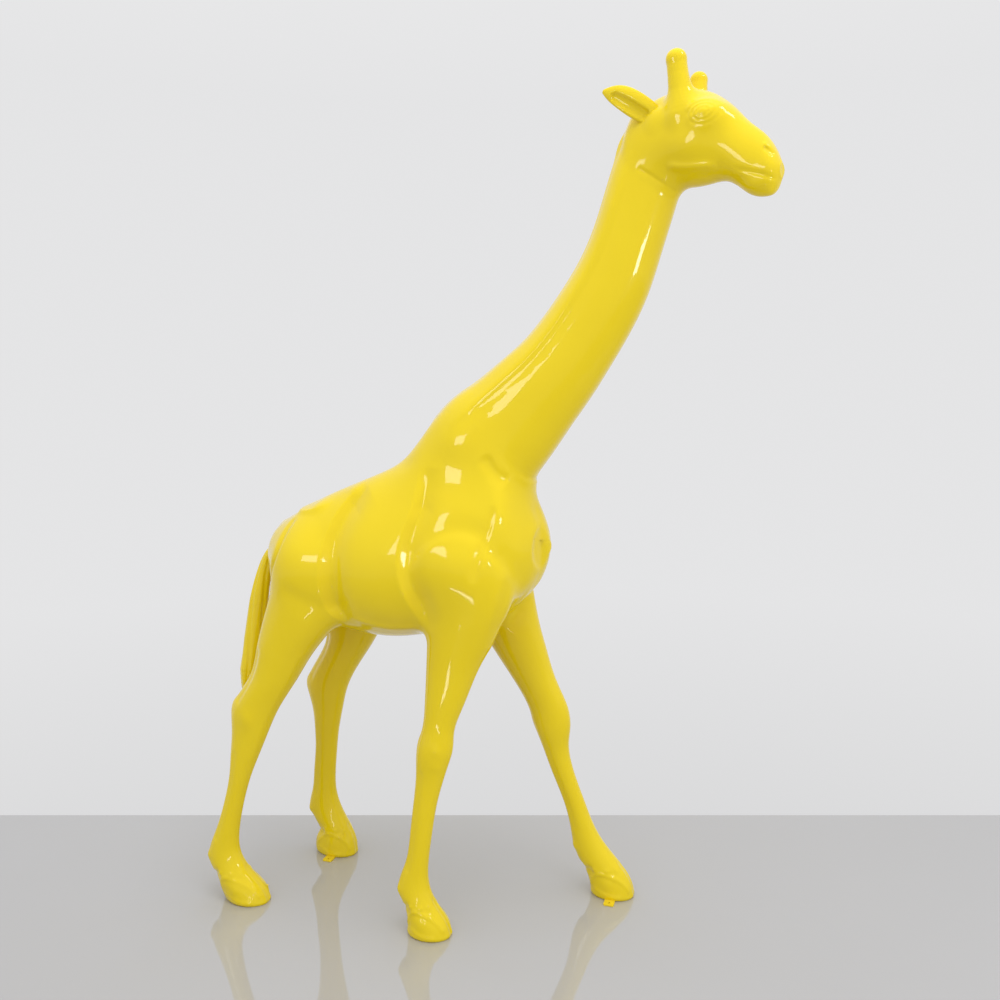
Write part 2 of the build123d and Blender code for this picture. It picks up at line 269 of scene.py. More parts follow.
def stroke(points, widths, depth, across=1, side=-1, beyond=20, head=False, crisp=False):
    """Press in a groove drawn on one face of the form: its side (across 1), front (0) or top (2).

    It fades out at its ends. Its widths are those to the left and the right of the line's run,
    where a crisp groove has a straight bank.
    """
    path = smooth_line(points)
    corners = np.insert(path, across, 0, axis=1)
    low, high = room(corners, max(widths) * FURROW_SPREAD)
    low[across], high[across] = sorted((side * beyond, side * FACE_REACH[across]))
    if head:
        corners = [in_head(f, a, 0) for f in (low[0], high[0]) for a in (low[1], high[1])]
        low[:2], high[:2] = np.min(corners, 0)[:2], np.max(corners, 0)[:2]

    def press(s, t, z):
        place = [*turned(s, t), z] if head else [s, t, z]
        onto = np.clip((place.pop(across) * side - beyond) / FACE_FADE, 0, 1)
        a, b = place
        best, width, run = FAR**2, widths[0], 0
        for number, ((a0, b0), (a1, b1)) in enumerate(zip(path, path[1:])):
            along_a, along_b = a1 - a0, b1 - b0
            share = ((a - a0) * along_a + (b - b0) * along_b) / (along_a**2 + along_b**2)
            share = np.clip(share, 0, 1)
            off_a, off_b = a - a0 - share * along_a, b - b0 - share * along_b
            gap = off_a**2 + off_b**2
            near_width = np.where(along_a * off_b - along_b * off_a > 0, widths[0], widths[1])
            nearer = gap < best
            width = np.where(nearer, near_width, width)
            run = np.where(nearer, (number + share) / (len(path) - 1), run)
            best = np.minimum(best, gap)
        fade = np.clip(8 * run * (1 - run), 0, 1)
        share = np.exp(-best / width**2)
        if crisp:
            bank = np.clip(1 - np.sqrt(best) / widths[1], 0, 1)
            share = np.where(width == widths[1], bank, share)
        return depth * onto * fade * share

    return "press", Shape(low, high, press), 0


def arc(centre, half_ahead, half_up, start, end):
    """Points of part of an ellipse in the side view, from one angle in degrees to another."""
    angles = np.radians(np.linspace(start, end, ARC_POINTS))
    return [(centre[0] + half_ahead * cos(a), centre[1] + half_up * sin(a)) for a in angles]


# ---- The body's main forms ------------------------------------------------------------
# (forward, top, bottom, width, how much narrower the top is than the bottom)
TORSO = [
    (-716, 1030, 990, 30, 0.0), (-700, 1060, 952, 96, 0.0), (-665, 1098, 900, 200, 0.0),
    (-620, 1128, 860, 280, 0.05), (-540, 1172, 826, 330, 0.10), (-450, 1211, 798, 350, 0.15),
    (-360, 1247, 784, 372, 0.20), (-270, 1293, 786, 384, 0.31), (-190, 1350, 800, 374, 0.40),
    (-110, 1372, 816, 354, 0.42), (-30, 1350, 842, 330, 0.34), (40, 1272, 880, 290, 0.16),
    (92, 1180, 932, 222, 0.08), (124, 1122, 990, 120, 0.0), (136, 1080, 1030, 40, 0.0),
]

# Back edge and front edge (forward, up), and width
NECK = [
    ((-212, 1318), (40, 1090), 200),
    ((-168, 1421), (88, 1213), 224),
    ((-92, 1478), (134, 1290), 206),
    ((-17, 1531), (200, 1386), 190),
    ((51, 1584), (256, 1468), 178),
    ((100, 1635), (297, 1534), 168),
    ((141, 1687), (332, 1592), 160),
    ((208, 1787), (382, 1688), 150),
    ((257, 1886), (420, 1800), 141),
    ((290, 1985), (450, 1900), 135),
    ((325, 2086), (474, 1990), 128),
    ((353, 2150), (500, 2070), 108),
]

NECK_POWER = 2.25  # how square the neck's section is

# (forward, top, bottom, width)
HEAD = [
    (338, 2110, 2076, 24), (350, 2136, 2050, 76), (378, 2172, 2012, 118),
    (424, 2196, 1988, 140), (490, 2200, 1972, 150), (555, 2186, 1970, 146),
    (612, 2144, 1966, 120), (664, 2091, 1930, 96), (706, 2051, 1920, 78),
    (728, 2014, 1934, 56), (738, 1990, 1956, 26),
]

# (up, forward, out, depth, width)
LEGS = {
    "front_right": [
        (1150, -40, 64, 60, 44), (1030, -42, 104, 190, 136), (930, -45, 112, 236, 152),
        (840, -66, 116, 204, 132), (745, -94, 122, 152, 108), (630, -118, 134, 108, 84),
        (562, -133, 141, 90, 76), (512, -142, 146, 96, 80), (440, -152, 151, 82, 62),
        (370, -164, 156, 68, 54), (270, -177, 162, 62, 50), (190, -188, 166, 66, 54),
        (118, -194, 169, 92, 68), (80, -178, 171, 100, 78), (40, -156, 172, 114, 90),
        (0, -149, 172, 130, 100), (-40, -142, 172, 142, 108),
    ],
    "front_left": [
        (1150, -40, 64, 60, 44), (1030, -42, 104, 190, 136), (930, -42, 112, 226, 152),
        (840, -20, 116, 196, 132), (745, 18, 122, 166, 108), (630, 73, 132, 128, 86),
        (556, 107, 139, 118, 80), (500, 117, 143, 102, 78), (435, 128, 149, 78, 62),
        (370, 146, 154, 68, 54), (270, 183, 160, 64, 50), (200, 206, 164, 74, 56),
        (140, 230, 168, 100, 68), (92, 260, 170, 122, 80), (40, 290, 172, 128, 92),
        (0, 298, 172, 132, 100), (-40, 304, 172, 140, 108),
    ],
    "hind_right": [
        (1130, -535, 60, 60, 44), (1040, -524, 100, 184, 132), (930, -530, 112, 224, 152),
        (840, -556, 118, 224, 140), (745, -603, 126, 176, 118), (660, -641, 134, 146, 98),
        (570, -695, 143, 142, 82), (500, -713, 148, 114, 68), (435, -729, 151, 90, 60),
        (373, -744, 154, 68, 54), (290, -765, 158, 60, 50), (200, -788, 162, 72, 56),
        (122, -796, 164, 104, 68), (84, -776, 165, 120, 78), (42, -737, 166, 130, 90),
        (0, -718, 166, 134, 98), (-40, -704, 166, 142, 106),
    ],
    "hind_left": [
        (1130, -535, 60, 60, 44), (1040, -524, 100, 184, 132), (930, -526, 112, 226, 152),
        (840, -520, 118, 226, 140), (745, -516, 124, 168, 118), (660, -559, 132, 144, 98),
        (565, -612, 141, 136, 82), (490, -619, 147, 104, 68), (420, -624, 150, 82, 60),
        (350, -630, 154, 73, 54), (270, -639, 158, 74, 50), (200, -644, 162, 84, 56),
        (138, -638, 164, 112, 68), (92, -614, 165, 112, 78), (45, -602, 166, 126, 90),
        (0, -600, 166, 134, 98), (-40, -594, 166, 142, 106),
    ],
}
SIDE = {"front_right": -1, "front_left": 1, "hind_right": -1, "hind_left": 1}


def curves(rows):
    """Curves of the centre's height, half the height and half the width, by stations along."""
    rows = np.array(rows, float)
    forward, top, bottom, width = rows[:, :4].T
    centre, half_height = spline(forward, (top + bottom) / 2), spline(forward, (top - bottom) / 2)
    return forward, centre, half_height, spline(forward, width / 2)


def torso_shape():
    """The barrel, from its stations along the body."""
    forward, centre, half_height, half_width = curves(TORSO)
    narrowing = spline(forward, [row[4] for row in TORSO])

    def distance(s, t, z):
        height = np.maximum(half_height(s), LEAST_HALF_TORSO)
        lift = z - centre(s)
        share = np.clip(lift / height, -1, 1)
        width = np.maximum(half_width(s), LEAST_HALF_TORSO) * (1 - narrowing(s) * share)
        past = np.maximum(forward[0] - s, s - forward[-1])
        return np.maximum(oval(t, lift, width, height), past)

    return Shape((forward[0] - 30, -230, 740), (forward[-1] + 30, 230, 1420), distance)


def neck_shape():
    """The neck, from stations that span its back and front edges."""
    back = np.array([row[0] for row in NECK], float)
    front = np.array([row[1] for row in NECK], float)
    width = np.array([row[2] for row in NECK], float)
    knots = np.arange(len(NECK))
    dense = np.linspace(0, len(NECK) - 1, 160)
    columns = [(back + front)[:, 0] / 2, (back + front)[:, 1] / 2]
    axis = np.stack([spline(knots, column)(dense) for column in columns], -1)
    half_depth = spline(knots, np.linalg.norm(front - back, axis=1) / 2)(dense)
    half_width = spline(knots, width / 2)(dense)
    run = np.gradient(axis, axis=0)
    run /= np.linalg.norm(run, axis=1, keepdims=True)

    def distance(s, t, z):
        ahead, up = np.broadcast_arrays(s[:, 0, :], z[:, 0, :])
        best, seat = np.full(ahead.shape, FAR**2), np.zeros(ahead.shape, int)
        for number, (a, b) in enumerate(axis):
            gap = (ahead - a) ** 2 + (up - b) ** 2
            nearer = gap < best
            best[nearer], seat[nearer] = gap[nearer], number
        over_s, over_z = ahead - axis[seat, 0], up - axis[seat, 1]
        along = over_s * run[seat, 0] + over_z * run[seat, 1]
        across = over_s * run[seat, 1] - over_z * run[seat, 0]
        place = np.clip(seat + along / np.linalg.norm(axis[1] - axis[0]), 0, len(dense) - 1)
        depth = np.interp(place, np.arange(len(dense)), half_depth)[:, None, :]
        breadth = np.interp(place, np.arange(len(dense)), half_width)[:, None, :]
        ends = np.where((seat == 0) | (seat == len(dense) - 1), np.abs(along), 0)[:, None, :]
        return np.maximum(squared_oval(across[:, None, :], t, depth, breadth, NECK_POWER), ends - 4)

    return Shape((-300, -190, 1040), (540, 190, 2200), distance)


def head_shape():
    """The head, from upright stations along its turned axis."""
    forward, centre, half_height, half_width = curves(HEAD)

    def distance(s, t, z):
        ahead, left = turned(s, t)
        height = np.maximum(half_height(ahead), LEAST_HALF_HEAD)
        width = np.maximum(half_width(ahead), LEAST_HALF_HEAD)
        past = np.maximum(forward[0] - ahead, ahead - forward[-1])
        return np.maximum(oval(left, z - centre(ahead), width, height), past)

    return Shape((300, -220, 1900), (780, 120, 2240), distance)


def leg_curves(name):
    """A leg's stations, upwards, and curves of its middle (forward, out), depth and width."""
    rows = np.array(LEGS[name][::-1], float)
    return rows, [spline(rows[:, 0], column) for column in rows[:, 1:].T]


def leg_shape(name):
    """A leg, from level stations up its length."""
    rows, (forward, out, depth, width) = leg_curves(name)
    up = rows[:, 0]
    low = (rows[:, 1].min() - 150, -240, up[0])
    high = (rows[:, 1].max() + 150, 240, up[-1] + 20)

    def distance(s, t, z):
        under = np.clip(SOLE_EDGE - z, 0, SOLE_EDGE)
        tuck = SOLE_EDGE - np.sqrt(SOLE_EDGE**2 - under**2)
        half_depth, half_width = depth(z) / 2 - tuck, width(z) / 2 - tuck
        shape = oval(s - forward(z), t - SIDE[name] * out(z), half_depth, half_width)
        return np.maximum(shape, z - up[-1])

    return Shape(low, high, distance)


# ---- From the field to a surface ------------------------------------------------------
def sample(block, points):
    """The field at any points, by trilinear interpolation."""
    place = (points - block.low) / block.step
    top = np.array(block.value.shape) - 2
    cell = np.clip(np.floor(place).astype(int), 0, top)
    share = np.clip(place - cell, 0, 1)
    total = 0
    for corner in np.ndindex(2, 2, 2):
        weight = np.prod(np.where(corner, share, 1 - share), axis=1)
        total = total + weight * block.value[tuple((cell + corner).T)]
    return total


def gradient(block, points):
    """The outward direction of the field at any points."""
    slope = np.empty_like(points)
    for axis in range(3):
        offset = np.zeros(3)
        offset[axis] = block.step
        slope[:, axis] = sample(block, points + offset) - sample(block, points - offset)
    return slope / (2 * block.step)


LEAST_STEEPNESS = 0.04  # of the field, squared, when a vertex is moved onto the surface


def surface(block, level=0.0):
    """Vertices and quads of the field's surface at a level, one vertex to each crossed cell."""
    value = block.value - level
    inside = value < 0
    cells = np.array(value.shape) - 1
    count = np.zeros(cells, np.uint8)
    for i, j, k in np.ndindex(2, 2, 2):
        count += inside[i : i + cells[0], j : j + cells[1], k : k + cells[2]]
    crossed = np.argwhere((count > 0) & (count < 8))
    number = np.full(cells, -1, np.int64)
    number[tuple(crossed.T)] = np.arange(len(crossed))

    total, hits = np.zeros((len(crossed), 3)), np.zeros(len(crossed))
    for axis in range(3):
        others = [a for a in range(3) if a != axis]
        for i, j in np.ndindex(2, 2):
            start = crossed.copy()
            start[:, others[0]] += i
            start[:, others[1]] += j
            end = start.copy()
            end[:, axis] += 1
            a, b = value[tuple(start.T)], value[tuple(end.T)]
            cut = (a < 0) != (b < 0)
            point = start.astype(float)
            point[:, axis] += np.where(cut, a / np.where(cut, a - b, 1), 0)
            total[cut] += point[cut]
            hits[cut] += 1
    points = (total / hits[:, None]) * block.step + block.low

    quads = []
    for axis in range(3):
        u, v = (axis + 1) % 3, (axis + 2) % 3
        low, high = [slice(1, -1)] * 3, [slice(1, -1)] * 3
        low[axis], high[axis] = slice(0, -1), slice(1, None)
        rising = inside[tuple(low)].astype(np.int8) - inside[tuple(high)].astype(np.int8)
        for sign in (1, -1):
            edge = np.argwhere(rising == sign)
            edge[:, u] += 1
            edge[:, v] += 1
            around = []
            for du, dv in ((-1, -1), (0, -1), (0, 0), (-1, 0)):
                cell = edge.copy()
                cell[:, u] += du
                cell[:, v] += dv
                around.append(number[tuple(cell.T)])
            quad = np.stack(around, 1)
            quads.append(quad if sign == 1 else quad[:, ::-1])
    quads = np.concatenate(quads)

    for _ in range(2):
        points = relax(points, quads)
        for _ in range(2):
            slope = gradient(block, points)
            steep = np.maximum((slope**2).sum(1), LEAST_STEEPNESS)
            points -= slope * ((sample(block, points) - level) / steep)[:, None]
    return points, quads


def relax(points, quads):
    """Each vertex moved halfway towards the middle of its neighbours."""
    total, hits = np.zeros_like(points), np.zeros(len(points))
    for a, b in ((0, 1), (1, 2), (2, 3), (3, 0)):
        np.add.at(total, quads[:, a], points[quads[:, b]])
        np.add.at(total, quads[:, b], points[quads[:, a]])
        np.add.at(hits, quads[:, a], 1)
        np.add.at(hits, quads[:, b], 1)
    return (points + total / np.maximum(hits, 1)[:, None]) / 2


# ---- The sculpted detail --------------------------------------------------------------
# Folds seen from the side: points (forward, up), widths left and right of the run, depth, crisp
FLANK_LINES = [
    ([(-358, 1215), (-396, 1165), (-420, 1110), (-432, 1055), (-434, 1000), (-432, 940),
      (-424, 890), (-388, 850)], (46, 26), 18, True),
    ([(-165, 1275), (-178, 1156), (-192, 1107), (-200, 1053), (-194, 990), (-176, 936),
      (-140, 840)], (42, 24), 17, True),
    ([(-205, 1010), (-160, 1075), (-94, 1110), (-39, 1112), (20, 1086)], (34, 16), 6, False),
    ([(0, 1090), (60, 1017), (66, 970), (45, 893), (9, 800)], (30, 12), 8, False),
    ([(-10, 1310), (20, 1262), (52, 1240)], (14, 18), 5, False),
    ([(26, 1180), (14, 1120), (-2, 1060), (-16, 980)], (9, 12), 5, False),
    ([(-580, 940), (-500, 905), (-430, 880)], (22, 28), 3, False),
    ([(-380, 860), (-280, 838), (-180, 842)], (12, 12), -3, False),
]

# Masses on the flanks: centre (forward, out, up), radii, height
FLANK_MASSES = [
    ((-530, 165, 1010), (85, 70, 130), 8),
    ((-300, 185, 980), (110, 70, 140), 5),
    ((-95, 165, 1190), (85, 60, 110), 5),
    ((-84, 190, 1035), (92, 60, 84), 14),
    ((40, 130, 1160), (34, 45, 80), 12),
    ((14, 150, 1030), (30, 40, 40), 5),
    ((96, 60, 960), (40, 34, 60), 5),
    ((-505, 80, 1160), (26, 34, 22), 6),
    ((-405, 60, 1205), (22, 30, 18), 4),
    ((-250, 70, 1280), (40, 40, 26), -3),
    ((-92, 120, 1345), (60, 55, 60), 7),
]

# The line that parts a buttock from the root of the tail: (forward, out, up)
BUTTOCK_EDGE = [(-588, 108, 1114), (-594, 122, 1090), (-599, 142, 1050), (-612, 152, 1005),
                (-640, 136, 955)]


def flank_work(side):
    """The muscles and folds of one side of the body."""
    work = []
    for points, widths, depth, crisp in FLANK_LINES:
        work.append(stroke(points, widths, depth, 1, side, crisp=crisp))
    for (forward, out, up), radii, height in FLANK_MASSES:
        work.append(swell((forward, side * out, up), radii, height))
    return work + [furrow([(s, side * out, z) for s, out, z in BUTTOCK_EDGE], 11, 9)]


MANE_SHARE = 0.2  # how far across the neck from its back the mane's edge runs
# The fold between cheek and throat: (forward, out, up)
THROAT = [(380, 66, 2016), (405, 66, 2000), (430, 60, 1984), (460, 40, 1968)]


def neck_work():
    """The mane's ridge down the back of the neck, and the folds beside it."""
    back = [row[0] for row in NECK[1:-1]]
    nape = [(320, 2092), (336, 2130), (354, 2162), (384, 2190)]
    mane = [(-190, 1384), *back[:-1], *nape]
    keel = [(-10, 1190), (-12, 1130), (-12, 1080), (-10, 1010), (-6, 920)]
    work = [
        furrow([(s, 0, z) for s, z in mane], 15, -8),
        swell((120, -62, 1050), (46, 62, 118), -30),
        swell((112, 52, 1066), (46, 48, 100), 10),
        stroke(keel, (22, 22), 6, 0, 1, 0),
    ]
    for side in (-1, 1):
        line = []
        for (s, z), (front_s, front_z), _ in NECK[1:-1]:
            line.append((s + MANE_SHARE * (front_s - s), z + MANE_SHARE * (front_z - z)))
        work.append(stroke(line, (18, 14), -6, 1, side, 12))
        work.append(furrow([(s, side * out, z) for s, out, z in THROAT], 6, 2.2))
    return work


HEEL_NOTCH, CORONET = 76, 84  # heights of the hollow behind the pastern and the hoof's upper rim


def leg_work(name):
    """Knee or hock, tendons, fetlock and hoof of one leg, placed round its own stations."""
    side = SIDE[name]
    _, (forward, out, depth, width) = leg_curves(name)

    def at(up, angle):
        """A point on the leg at a height, by degrees round from its front towards its outer side."""
        ahead = depth(up) / 2 * cos(radians(angle))
        aside = width(up) / 2 * sin(radians(angle))
        return (forward(up) + ahead, side * (out(up) + aside), up)

    def groove(points, width, depth):
        work.append(furrow(points, width, depth))

    def bump(up, angle, radii, height):
        work.append(swell(at(up, angle), radii, height))

    work = []
    knee, fetlock = LEGS[name][7][0], LEGS[name][12][0]
    if name.startswith("front"):
        bump(knee + 4, 0, (24, 28, 40), 4)
        bump(knee + 16, 180, (16, 16, 30), 3)
        bump(knee + 6, 70, (14, 10, 14), 2)
        bump(knee - 40, 60, (14, 10, 12), 1.5)
    else:
        hock = LEGS[name][6][0]
        bump(hock + 6, 180, (17, 18, 28), 7)
        bump(hock - 24, 90, (22, 14, 26), 4)
        bump(26, 180, (24, 34, 36), 13)
        groove([at(hock + up, 180) for up in (16, 60, 110, 170)], 9, -4)
        for angle in (142, 218):
            groove([at(hock + up, angle) for up in (30, 70, 120, 170)], 11, 5)
        groove([at(up, 38) for up in (740, 640, 540, 430)], 9, -1.5)
    for angle in (118, 242):
        groove([at(up, angle) for up in np.linspace(knee - 60, fetlock + 60, 5)], 7, 2)
    for angle in (150, 210):
        bump(fetlock + 2, angle, (11, 11, 13), 5)

    crown = [at(52 + 34 * cos(radians(angle / 2)) ** 2, angle) for angle in range(-160, 161, 32)]
    groove(crown, 9, 1.2)
    groove([at(HEEL_NOTCH, angle) for angle in (128, 154, 180, 206, 232)], 14, 8)
    groove([at(up, 0) for up in (96, 70, 40, 0)], 5, 5)
    groove([at(up, 180) for up in (60, 30, 0)], 6, 4)
    for angle, end in ((90, 1), (270, -1)):
        arch = [(26, 58), (52, 44), (70, 18), (72, -12), (56, -40), (34, -58)]
        groove([at(up, angle - end * turn) for up, turn in arch], 5, -3.4)
        bump(44, angle, (16, 14, 16), 2)
        groove([at(up, angle - end * turn) for up, turn in ((24, -42), (14, -8), (10, 26))], 5, -2)
        for turn in (-52, -16, 20, 52):
            bump(CORONET, angle - end * turn, (7, 7, 6), 3.5)
    return work


EYE = (576, 2116)  # forward and up in the turned head
# Folds round the eye: half axes ahead and up, width, depth
LIDS = [(37, 27, 4, 1.5), (25, 18, 3.5, 2.2), (13, 10, 3, 1.5)]

# The brow, nostrils, mouth and jaw: points (forward, up), widths left and right of the run, depth
FACE_LINES = [
    (arc(EYE, 40, 31, 10, 170), (5, 9), -1.5),
    ([(706, 2022), (717, 2013), (727, 2004)], (4, 4), 4.5),
    ([(702, 2032), (717, 2026), (731, 2014)], (7, 5), -2.5),
    ([(640, 1984), (673, 1973), (696, 1965), (716, 1957), (740, 1948)], (6, 5), 2.2),
    ([(472, 2014), (510, 2005), (536, 2001), (565, 1999), (600, 1996)], (10, 8), -5),
]

# Orbit, temple, cheek, nostril, lip and chin: centre (forward, out, up), radii, height
FACE_MASSES = [
    ((580, 60, 2117), (44, 42, 34), 26),
    ((526, 70, 2120), (18, 18, 24), -6),
    ((524, 72, 2052), (42, 22, 38), 5),
    ((724, 26, 1978), (20, 18, 18), 4),
    ((692, 22, 1944), (26, 22, 14), 4),
    ((640, 30, 1958), (26, 20, 18), -4),
]


def face_work():
    """Eyes, nostrils, lips and jaw, on both sides of the turned head."""
    lines = []
    for half_ahead, half_up, width, depth in LIDS:
        for start in (20, 200):
            fold = arc(EYE, half_ahead, half_up, start, start + 180)
            lines.append((fold, (width, width), depth))
    work = []
    for side in (-1, 1):
        for (forward, out, up), radii, height in FACE_MASSES:
            work.append(swell(in_head(forward, side * out, up), radii, height, HEAD_LEAN))
        for points, widths, depth in lines + FACE_LINES:
            work.append(stroke(points, widths, depth, 1, side, 10, True))
        ear_root = ball(in_head(444, side * 55, 2122), (24, 15, 26), HEAD_LEAN)
        work.append(("join", ear_root, EAR_ROOT_BLEND))
    lip = [(-40, 1952), (0, 1949), (40, 1952)]
    return work + [stroke(lip, (5, 5), 3, 0, 1, 300, True)]


# (forward, out, up, radius) of the right horn, in the turned head
HORN = [
    (506, 46, 2132, 34), (502, 50, 2184, 28), (498, 55, 2224, 25), (496, 59, 2253, 24),
]
HORN_CROWN = ((495, 60, 2259), (24, 24, 22))
HORN_TOP = 2204  # where the cast horns are seated on the moulded skull
LEFT_HORN_DROP, LEFT_HORN_SLIM = 15, 3  # how much lower it ends, and thinner


def horn_work(side):
    """A horn with a blunt crown, filleted into the skull."""
    drop, slim = (LEFT_HORN_DROP, LEFT_HORN_SLIM) if side > 0 else (0, 0)
    points = [in_head(forward, side * out, up - drop) for forward, out, up, _ in HORN]
    stem = rope(points, [row[3] - slim for row in HORN])
    (forward, out, up), radii = HORN_CROWN
    crown = ball(in_head(forward, side * out, up - drop), [radius - slim for radius in radii])
    return [("join", stem, HORN_BLEND), ("join", crown, CROWN_BLEND)]


# (forward, out, up, breadth, thickness) of an ear, in the turned head, from its root to its tip
EAR = [
    (446, 44, 2132, 46, 24), (424, 60, 2148, 56, 28), (394, 76, 2170, 61, 28),
    (362, 88, 2192, 54, 24), (334, 95, 2206, 34, 16), (315, 98, 2213, 10, 8),
]
EAR_LEAN = (0.5, 0, 0.87)  # the way its breadth runs
# The hollow, in shares of the ear's half breadth and half thickness: middle, then half sizes
EAR_HOLLOW = ((-0.34, 0.95), (0.5, 0.75))
EAR_HOLLOW_RUN = (0.2, 0.8)  # shares of the ear's length
EAR_HOLLOW_BLEND = 6
EAR_MARGIN = 60


def ear_shape(side):
    """A leaf-shaped ear with a rolled rim round a hollow outer face."""
    points = np.array([in_head(forward, side * out, up) for forward, out, up, _, _ in EAR])
    root, tip = points[0], points[-1]
    along = (tip - root) / np.linalg.norm(tip - root)
    lean = np.array(in_head(EAR_LEAN[0], 0, EAR_LEAN[2])) - in_head(0, 0, 0)
    broad = lean - along * (lean @ along)
    broad /= np.linalg.norm(broad)
    outward = np.cross(along, broad)
    outward *= np.sign(outward[1]) * side
    knots = (points - root) @ along
    shift_broad, shift_out = (spline(knots, (points - root) @ way) for way in (broad, outward))
    half_broad = spline(knots, [row[3] / 2 for row in EAR])
    half_out = spline(knots, [row[4] / 2 for row in EAR])
    length = knots[-1]

    def distance(s, t, z):
        s, t, z = s - root[0], t - root[1], z - root[2]
        u = s * along[0] + t * along[1] + z * along[2]
        v = s * broad[0] + t * broad[1] + z * broad[2] - shift_broad(u)
        w = s * outward[0] + t * outward[1] + z * outward[2] - shift_out(u)
        a, b = half_broad(u), half_out(u)
        (mid_a, mid_b), (share_a, share_b) = EAR_HOLLOW
        hollow = oval(v - mid_a * a, w - mid_b * b, share_a * a, share_b * b)
        start, end = EAR_HOLLOW_RUN
        hollow += np.maximum(np.maximum(start * length - u, u - end * length), 0)
        leaf = -soft_min(-oval(v, w, a, b), hollow, EAR_HOLLOW_BLEND)
        return np.maximum(leaf, np.maximum(-u, u - length))

    return Shape(*room(points, EAR_MARGIN), distance)


BREAST = ((106, 0, 1056), (28, 56, 66))  # the swelling at the front of the barrel

# (forward, left, up, radius) of the tail, from the rump to its tip on the right hock
TAIL = [
    (-640, 0, 1092, 14), (-676, -1, 1062, 14), (-708, -4, 1015, 14), (-732, -10, 958, 21),
    (-748, -26, 860, 28), (-756, -48, 745, 29), (-762, -70, 660, 25), (-764, -90, 588, 9),
]
TAIL_ROOT = ((-656, 0, 1066), (26, 20, 36))  # the swelling it grows from
TAIL_LOCKS, TAIL_TWIST = 5, 0.35  # the twist is from station to station, in radians


def tail_work():
    """The tail's cord and tuft, with the furrows between the tuft's locks."""
    points = [row[:3] for row in TAIL]
    work = [("join", rope(points, [row[3] for row in TAIL]), 0)]
    for lock in range(TAIL_LOCKS):
        line = []
        for number, (s, t, z, radius) in enumerate(TAIL[2:]):
            turn = 2 * pi * lock / TAIL_LOCKS + TAIL_TWIST * number
            line.append((s + radius * cos(turn), t + radius * sin(turn), z))
        work.append(furrow(line, 5, 4.5))
    for s, t, z, _ in TAIL[3:-1]:
        for sign in (-1, 1):
            place = (s + sign * 8, t - sign * 10, z + 20 * sign)
            work.append(swell(place, (16, 16, 40), 3))
    return work


def body_sculpt():
    """Every shape of the seamless skin, in the order they are worked in."""
    work = [("join", torso_shape(), 0), ("join", neck_shape(), NECK_BLEND)]
    work += [("join", leg_shape(name), LEG_BLEND) for name in LEGS]
    work += [("join", head_shape(), HEAD_BLEND)]
    work += horn_work(-1) + horn_work(1)
    work += [("join", ball(*form), END_BLEND) for form in (TAIL_ROOT, BREAST)]
    for side in (-1, 1):
        work += flank_work(side)
    work += neck_work()
    for name in LEGS:
        work += leg_work(name)
    return work + face_work()


WORK = body_sculpt()


def sculpted(low, high, step, work=WORK):
    """A block of the field with everything worked into it."""
    block = Block(low, high, step)
    for kind, shape, blend in work:
        block.apply(kind, shape, blend)
    return block


# ---- Moulded pieces -------------------------------------------------------------------
def plane(point, normal):
    """A cutting plane in animal millimetres, that keeps the side its normal points to."""
    return Vector(point), Vector(normal).normalized()


def flipped(cut):
    """The same plane, keeping its other side."""
    return cut[0], -cut[1]


CUT_SNAP = 0.02  # vertices this near a cut are moved onto it
MOST_SIDES = 5  # of a cut quad; a face with more of them is a cap


def trimmed(points, quads, cuts, capped):
    """The part of a surface that every plane keeps, as vertices and faces."""
    mesh = bpy.data.meshes.new("work")
    mesh.from_pydata(points.tolist(), [], quads.tolist())
    work = bmesh.new()
    work.from_mesh(mesh)
    bpy.data.meshes.remove(mesh)
    for point, normal in cuts:
        whole = work.verts[:] + work.edges[:] + work.faces[:]
        bmesh.ops.bisect_plane(
            work, geom=whole, dist=CUT_SNAP, plane_co=point, plane_no=normal, clear_inner=True
        )
        if capped:
            rim = [edge for edge in work.edges if edge.is_boundary]
            bmesh.ops.holes_fill(work, edges=rim, sides=0)
    work.verts.index_update()
    vertices = np.array([vertex.co[:] for vertex in work.verts])
    faces = [[vertex.index for vertex in face.verts] for face in work.faces]
    rim = []
    for edge in work.edges:
        if edge.is_boundary:
            start = edge.link_loops[0].vert
            rim.append((start.index, edge.other_vert(start).index))
    caps = [len(face.verts) > MOST_SIDES for face in work.faces]
    work.free()
    return vertices, faces, rim, caps


def put_in_scene(name, data):
    """A new object of some data."""
    made = bpy.data.objects.new(name, data)
    bpy.context.scene.collection.objects.link(made)
    return made


def build(name, vertices, faces, normals, material):
    """A mesh object in the row frame, with its own corner normals."""
    mesh = bpy.data.meshes.new(name)
    mesh.from_pydata(to_row(vertices).tolist(), [], faces)
    mesh.polygons.foreach_set("use_smooth", [True] * len(faces))
    mesh.normals_split_custom_set(normals)
    mesh.materials.append(material)
    return put_in_scene(name, mesh)


def row_way(directions):
    """Directions in animal axes, turned to the row's axes."""
    return np.stack([directions[:, 1], -directions[:, 0], directions[:, 2]], -1)


def unit(directions):
    """Directions brought to length 1."""
    return directions / np.maximum(np.linalg.norm(directions, axis=1, keepdims=True), TINY_LENGTH)


def face_way(a, b, c):
    """The way a flat face looks, from three of its corners."""
    across = np.cross(b - a, c - a)
    return across / max(np.linalg.norm(across), TINY_LENGTH)


